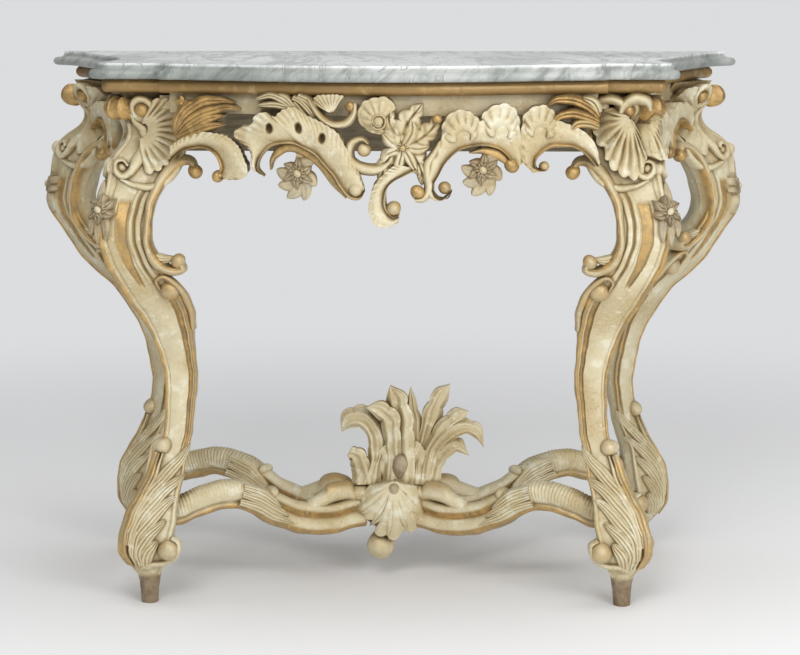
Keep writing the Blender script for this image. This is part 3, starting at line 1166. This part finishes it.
class Arm:
    """One arm of the stretcher: its line from a leg to the centre."""

    def __init__(self, foot, rib_depth):
        self.foot = foot
        self.rib_depth = rib_depth
        away = np.array(CENTRE) - np.array(foot)
        self.length = np.linalg.norm(away)
        self.way = away / self.length
        grow = self.length / math.hypot(FRONT_FOOT[0], CENTRE[1] - FRONT_FOOT[1])
        self.line = smooth_run([(grow * far, ARM_LOW + grow * (up - ARM_LOW)) for far, up in ARM_LINE], 300)
        slope = np.gradient(self.line, axis=0)
        self.slope = slope / np.linalg.norm(slope, axis=1, keepdims=True)

    def place(self, share, up, across):
        """Place by share of the line, height over it and distance to its side."""
        row = np.clip(share, 0, 1) * (len(self.line) - 1)
        rows = np.arange(len(self.line))
        far, high = (np.interp(row, rows, self.line[:, k]) for k in (0, 1))
        tilt_far, tilt_high = (np.interp(row, rows, self.slope[:, k]) for k in (0, 1))
        along = far - tilt_high * up
        return np.stack([self.foot[0] + self.way[0] * along - self.way[1] * across,
                         self.foot[1] + self.way[1] * along + self.way[0] * across,
                         high + tilt_far * up], axis=-1)

    def side(self, hand):
        """Places on one side of the arm: share of the line, height over it, and out of the side."""
        def place(share, up, out):
            return self.place(share, up, hand * (ARM_SIDE + out))
        return place


def arm_body(arm):
    """Ribbed arch by the leg that goes over into a moulded run to the centre."""
    arch_half = smooth_run(ARCH_SECTION, 26)
    run_half = smooth_run(RUN_SECTION, 26)
    share = np.linspace(0, 1, 420)[:, None]
    run = step(0.50, 0.58, share)
    arch = hump(0.08, 0.52, 0.03, share)
    beat = math.pi * share * arm.length / RIB_PITCH + 0.8 * np.sin(19 * share)
    rib = 1 - arm.rib_depth * arch * np.sin(beat) ** 2
    half = [arch_half[None, :, k] * (1 - run) + run_half[None, :, k] * run for k in (0, 1)]
    swell = rib + (1 - rib) * step(-0.004, -0.010, half[1])
    across = half[0] * swell
    up = half[1] * swell
    across = np.concatenate([across, -across[:, -2:0:-1]], axis=1)
    up = np.concatenate([up, up[:, -2:0:-1]], axis=1)
    low_bead = 1 - step(-0.016, -0.011, up)
    channel = hump(0.002, 0.013, 0.002, up) * run * (np.abs(across) > 0.002)
    gilt = np.clip(0.55 * low_bead + 0.6 * channel, 0, 1)
    return carved(arm.place(share + 0 * up, up, across), gilt)


def arm_roll(arm):
    """Rolled leaf tip that lies across the top where the arch ends."""
    half = 0.016
    angle = circle(32)
    across = np.linspace(-half, half, 41)[:, None]
    flutes = 1 - 0.05 * np.abs(np.sin(math.pi * across / 0.0055))
    radius = 0.0105 * flutes * np.sqrt(1.1 - (across / half) ** 2)
    share = 0.535 + radius * np.cos(angle) / arm.length
    return carved(arm.place(share, 0.021 + radius * np.sin(angle), across + 0 * angle), 0.1)


def arm_tongue(arm):
    """Thick roll on the last part of an arm: it rises out of the top and ends round against the centre."""
    along = np.linspace(0, 1, 61)[:, None]
    angle = circle(32)
    near_end = np.clip(along / 0.12, 0.02, 1)
    radius = (0.0155 - 0.004 * along) * np.sqrt(1 - (1 - near_end) ** 2)
    share, up = (column[:, None] for column in smooth_run(ARM_TONGUE, 61).T)
    rolled = arm.place(share + 0 * angle, up + 1.15 * radius * np.sin(angle), radius * np.cos(angle))
    return carved(rolled, 0.40 * step(-0.6, 0.8, np.sin(angle)) * (1 - step(0.4, 1.0, along)))


def make_arms():
    """Four arms, each with fluted leaves on its sides where the arch ends."""
    for foot, name, rib_depth in ((FRONT_FOOT, "front", 0.045), (BACK_FOOT, "back", 0.08)):
        arm = Arm(foot, rib_depth)
        end = arm.place(np.array(0.055), np.array(-0.016), np.array(0.0))
        forms = [arm_body(arm), arm_roll(arm), arm_tongue(arm), ball(end, 0.0145, 0.25)]
        for hand in (1, -1):
            side = arm.side(hand)
            for low, tip in ((0.014, 0.590), (0.003, 0.640), (-0.010, 0.680)):
                spine = [(0.40, low), (0.50, low * 0.9), (tip, low * 0.7 - 0.004)]
                forms.append(blade(side, spine, 0.0085, 0.008, root=0.7))
        stand_in_pair(name + "_{}_arm", forms)


def lathe(profile, centre, gilt):
    """Turned form about an upright axis."""
    profile = smooth_run(profile, 48)
    angle = circle(96)
    radius = profile[:, :1] + 0 * angle
    rings = np.stack([centre[0] + radius * np.cos(angle), centre[1] + radius * np.sin(angle),
                      profile[:, 1:] + 0 * angle], axis=-1)
    return carved(rings, gilt)


def on_hub(hand):
    """Places on the swelling front or back of the centre block: across, height, and out."""
    def place(along, height, out):
        fall = 6.0 * (along - HUB_MIDDLE[0]) ** 2 + 5.0 * (height - HUB_MIDDLE[1]) ** 2
        swell = HUB_FRONT - fall + out
        return np.stack([along + 0 * out, CENTRE[1] - hand * swell, height + 0 * out], axis=-1)
    return place


def make_hub():
    """Centre block: a boss with a mound on it, and on each side a soft shell that spreads downwards."""
    boss = lathe([(0.034, 0.1595), (0.046, 0.150), (0.050, 0.136), (0.050, 0.120), (0.044, 0.106),
                  (0.034, 0.095), (0.024, 0.087), (0.012, 0.0845)], CENTRE, 0.0)
    mound = egg((0.014, CENTRE[1], 0.152), (0.056, 0.040, 0.022), 0.0)
    border = [(-0.034, 0.160), (-0.046, 0.136), (-0.060, 0.104), (-0.034, 0.104), (-0.019, 0.097),
              (-0.021, 0.082), (0.006, 0.069), (0.027, 0.080), (0.044, 0.085), (0.064, 0.101),
              (0.054, 0.130), (0.052, 0.158)]
    folds = (((-0.018, 0.138), (-0.056, 0.107), 0.017), ((-0.006, 0.124), (-0.030, 0.093), 0.015),
             ((0.009, 0.116), (0.002, 0.071), 0.017), ((0.024, 0.124), (0.035, 0.082), 0.015),
             ((0.038, 0.138), (0.062, 0.103), 0.017))
    forms = [boss, mound]
    for hand in (1, -1):
        place = on_hub(hand)
        forms.append(fan(place, (0.012, 0.172), border, 8, 0.014, -0.040, root=0.02, scallop=0.10, deep=0.24))
        eye = place(np.array(0.011), np.array(0.156), np.array(0.007))
        forms.append(egg(eye, (0.0105, 0.008, 0.0125), -0.55))
        for middle, tip, wide in folds:
            forms.append(blade(place, [(0.012, 0.160), middle, tip], wide, 0.014, -0.030, 0.0, 1, 0.20))
        for x in (-0.045, 0.056):
            forms.append(egg((x, CENTRE[1] - hand * 0.024, 0.146), (0.021, 0.017, 0.0135), 0.22))
    stand_in("centre_block", forms)


def make_pendant():
    """Turned knob under the centre block."""
    profile = [(0.009, 0.085), (0.012, 0.079), (0.019, 0.070), (0.0230, 0.057), (0.0205, 0.045),
               (0.013, 0.036), (0.003, 0.0315)]
    stand_in("pendant_knob", [lathe(profile, (-0.012, 0.035), 0.22)])


# How far the tip of a finial's leaf turns over, the flutes of a leaf and the teeth of its tip
TIP_TURN = 0.008
LEAF_FLUTES = 2
LEAF_TEETH = 4

# Leaves of the finial: left edge, right edge, and how far the tip leans forward
SPRAY = [
    ([(-0.003, 0.161), (0.0, 0.236), (-0.003, 0.278), (0.0, 0.312), (0.004, 0.324)],
     [(0.037, 0.161), (0.038, 0.236), (0.035, 0.278), (0.028, 0.309), (0.004, 0.324)], 0.004),
    ([(0.030, 0.161), (0.033, 0.236), (0.031, 0.290), (0.036, 0.319)],
     [(0.051, 0.161), (0.053, 0.231), (0.050, 0.281), (0.036, 0.319)], -0.004),
    ([(0.043, 0.161), (0.053, 0.242), (0.062, 0.284), (0.078, 0.312), (0.101, 0.322)],
     [(0.062, 0.161), (0.072, 0.236), (0.086, 0.267), (0.098, 0.298), (0.101, 0.322)], -0.010),
    ([(0.050, 0.161), (0.063, 0.222), (0.085, 0.264), (0.112, 0.285), (0.132, 0.283)],
     [(0.066, 0.161), (0.079, 0.212), (0.100, 0.246), (0.121, 0.265), (0.132, 0.283)], 0.006),
    ([(0.056, 0.161), (0.068, 0.216), (0.095, 0.255), (0.130, 0.268), (0.152, 0.258), (0.158, 0.225)],
     [(0.072, 0.161), (0.083, 0.207), (0.105, 0.235), (0.128, 0.245), (0.143, 0.240), (0.158, 0.225)], 0.014),
    ([(0.060, 0.161), (0.073, 0.202), (0.095, 0.232), (0.120, 0.236), (0.134, 0.210)],
     [(0.082, 0.165), (0.087, 0.190), (0.100, 0.209), (0.116, 0.215), (0.134, 0.210)], 0.018),
    ([(-0.045, 0.161), (-0.032, 0.191), (-0.031, 0.225), (-0.039, 0.247), (-0.058, 0.251), (-0.080, 0.240)],
     [(-0.018, 0.161), (-0.014, 0.197), (-0.003, 0.225), (-0.011, 0.256), (-0.044, 0.286), (-0.077, 0.271),
      (-0.080, 0.240)], -0.008),
    ([(-0.006, 0.161), (-0.004, 0.222), (-0.010, 0.256), (-0.022, 0.275), (-0.037, 0.289)],
     [(0.018, 0.161), (0.018, 0.236), (0.012, 0.281), (-0.011, 0.299), (-0.037, 0.289)], 0.012),
    ([(-0.055, 0.161), (-0.060, 0.185), (-0.064, 0.199), (-0.067, 0.207)],
     [(-0.022, 0.161), (-0.034, 0.191), (-0.041, 0.213), (-0.056, 0.220), (-0.067, 0.207)], 0.010),
]


def on_spray(along, height, forward):
    """Place in the finial: across, height, and forward of its middle."""
    return np.stack([along + 0 * forward, CENTRE[1] - forward, height + 0 * forward], axis=-1)


def spray_leaf(left, right, lean):
    """Broad fluted leaf of the finial: it comes forward at its root, and its toothed tip turns over."""
    count = 121
    left = smooth_run(left, count)
    right = smooth_run(right, count)
    along = np.linspace(0, 1, count)[:, None]
    across = np.linspace(-1, 1, 14 * LEAF_FLUTES + 1)[None]
    middle = (left + right) / 2
    spread = 1 + 0.32 * (1 - along ** 3)
    left, right = middle + (left - middle) * spread, middle + (right - middle) * spread
    wide = np.linalg.norm(left - right, axis=1)[:, None]
    lobe = np.abs(np.sin(math.pi * LEAF_TEETH * along)) ** 0.6
    cut = 0.13 * step(0.40, 0.60, along) * (1 - lobe) * (1 - step(0.94, 1.0, along))
    left, right = left + (right - left) * cut, right + (left - right) * cut
    flute = np.cos(math.pi * LEAF_FLUTES * (across + 1))
    crown = 0.20 * wide * (1 - across * across) - 0.065 * wide * flute * (1 - across ** 4)
    bow = lean * np.sin(0.5 * math.pi * along) + TIP_TURN * np.sign(lean) * step(0.72, 1.0, along)
    twist = 0.18 * wide * across * np.sign(lean) * np.sin(math.pi * along)
    root = 0.020 * (1 - step(0.0, 0.36, along))
    out = bow + 0.004 + crown + twist + root
    back = bow - 0.0045 - 0.05 * wide
    gilt = 0.12 * step(0.8, 1.0, np.abs(across)) + 0 * along
    return relief(on_spray, left, right, out, gilt, back)


def make_finial():
    """Spray of leaves over a fluted mound, with a dark boss in front and behind."""
    mound = [(-0.050, 0.163), (-0.036, 0.194), (-0.008, 0.222), (0.020, 0.236), (0.050, 0.230),
             (0.074, 0.204), (0.086, 0.165)]
    forms = [spray_leaf(*shape) for shape in SPRAY]
    forms.append(fan(on_spray, (0.016, 0.150), mound, 7, 0.018, -0.014, root=0.16, deep=0.2))
    for hand in (1, -1):
        forms.append(egg((0.020, CENTRE[1] - hand * 0.024, 0.188), (0.0135, 0.0105, 0.0225), -0.6))
    stand_in("finial", forms)


# Finish of the plain parts

def dress(names, finish):
    """The finish on parts that are shown as they come from the CAD."""
    for name in names:
        for slot in nodes[name].material_slots:
            slot.material = finish


# Setting

# Floor: its size, and how far from the table it begins to go over into the backdrop and has done so
FLOOR_SIZE = 60.0
FLOOR_NEAR = 0.9
FLOOR_FAR = 2.8
BACKDROP = (0.715, 0.72, 0.73, 1)
PAPER_DARK = (0.92, 0.925, 0.93, 1)
PAPER_LIGHT = (0.95, 0.95, 0.96, 1)

# Lamps: where each hangs, the point it faces, its size and its power; and the soft light from all round
LAMPS = {"key": ((-0.6, -3.4, 2.8), (0, 0, 0.4), 1.6, 57),
         "fill": ((2.0, -3.2, 1.6), (0, 0, 0.4), 2.2, 78),
         "top": ((0.3, -0.2, 4.2), (0, 0.2, 0.0), 4.2, 84)}
SKY = (0.86, 0.87, 0.88, 1)
SKY_STRENGTH = 0.27


def make_stage():
    """Pale paper floor; far from the table the camera sees it as one plain tone with the backdrop."""
    bpy.ops.object.select_all(action="DESELECT")
    bpy.ops.mesh.primitive_plane_add(size=FLOOR_SIZE)
    floor = bpy.context.object
    floor.name = "floor"
    paper = Finish("pale_paper")
    tone = paper.noise(0.9, 2.0)
    paper.surface(Base_Color=paper.mix(tone, PAPER_DARK, PAPER_LIGHT), Roughness=0.9)
    away = paper.value("ShaderNodeVectorMath", {"operation": "LENGTH"}, {0: paper.place()}, "Value")
    seen = paper.value("ShaderNodeLightPath", {}, {}, "Is Camera Ray")
    plain = paper.node("ShaderNodeEmission", {}, {"Color": BACKDROP, "Strength": 1.0})
    blend = paper.node("ShaderNodeMixShader", {}, {0: paper.between(away, FLOOR_NEAR, FLOOR_FAR) * seen,
                                                   1: paper.shader.outputs[0], 2: plain.outputs[0]})
    paper.tree.links.new(blend.outputs[0], paper.tree.nodes["Material Output"].inputs["Surface"])
    floor.data.materials.append(paper.material)


def area_light(name, place, target, size, power):
    """A square lamp that faces a point."""
    bpy.ops.object.light_add(type="AREA", location=place)
    lamp = bpy.context.object
    lamp.name = name
    lamp.data.size = size
    lamp.data.energy = power
    way = np.array(target) - np.array(place)
    flat = math.hypot(way[0], way[1])
    lamp.rotation_euler = (math.atan2(flat, -way[2]), 0, math.atan2(way[1], way[0]) - math.pi / 2)


def make_light():
    """The lamps, and soft light from all round that the camera sees as the backdrop."""
    for name, setting in LAMPS.items():
        area_light(name, *setting)
    world = bpy.data.worlds.new("studio")
    bpy.context.scene.world = world
    world.use_nodes = True
    tree = world.node_tree
    soft = tree.nodes["Background"]
    soft.inputs["Color"].default_value = SKY
    soft.inputs["Strength"].default_value = SKY_STRENGTH
    plain = tree.nodes.new("ShaderNodeBackground")
    plain.inputs["Color"].default_value = BACKDROP
    seen = tree.nodes.new("ShaderNodeLightPath")
    blend = tree.nodes.new("ShaderNodeMixShader")
    tree.links.new(seen.outputs["Is Camera Ray"], blend.inputs[0])
    tree.links.new(soft.outputs[0], blend.inputs[1])
    tree.links.new(plain.outputs[0], blend.inputs[2])
    tree.links.new(blend.outputs[0], tree.nodes["World Output"].inputs["Surface"])


def make_camera():
    """Camera where the photograph was taken from."""
    bpy.ops.object.camera_add(location=CAMERA_PLACE, rotation=(math.pi / 2 - CAMERA_PITCH, 0, CAMERA_YAW))
    camera = bpy.context.object
    camera.data.lens = CAMERA_LENS
    camera.data.sensor_width = CAMERA_SENSOR
    bpy.context.scene.camera = camera
    bpy.context.scene.view_settings.view_transform = "Standard"


make_legs()
make_knee_flowers()
make_aprons()
make_apron_flower("apron_left_flower", -0.125, 0.700)
make_apron_flower("apron_right_flower", 0.152, 0.706)
make_shells()
make_arms()
make_hub()
make_pendant()
make_finial()
dress(["marble_top"], MARBLE)
dress(["top_frame_front", "top_frame_left", "top_frame_right"], GILDING)
dress(["front_rail", "left_rail", "right_rail"], PLAIN_PAINT)
dress(["top_frame_back", "back_rail", "left_bearer", "right_bearer", "glue_blocks"], DARK_WOOD)
dress(["arm_dowels", "finial_dowel"], PEG_WOOD)
make_stage()
make_light()
make_camera()
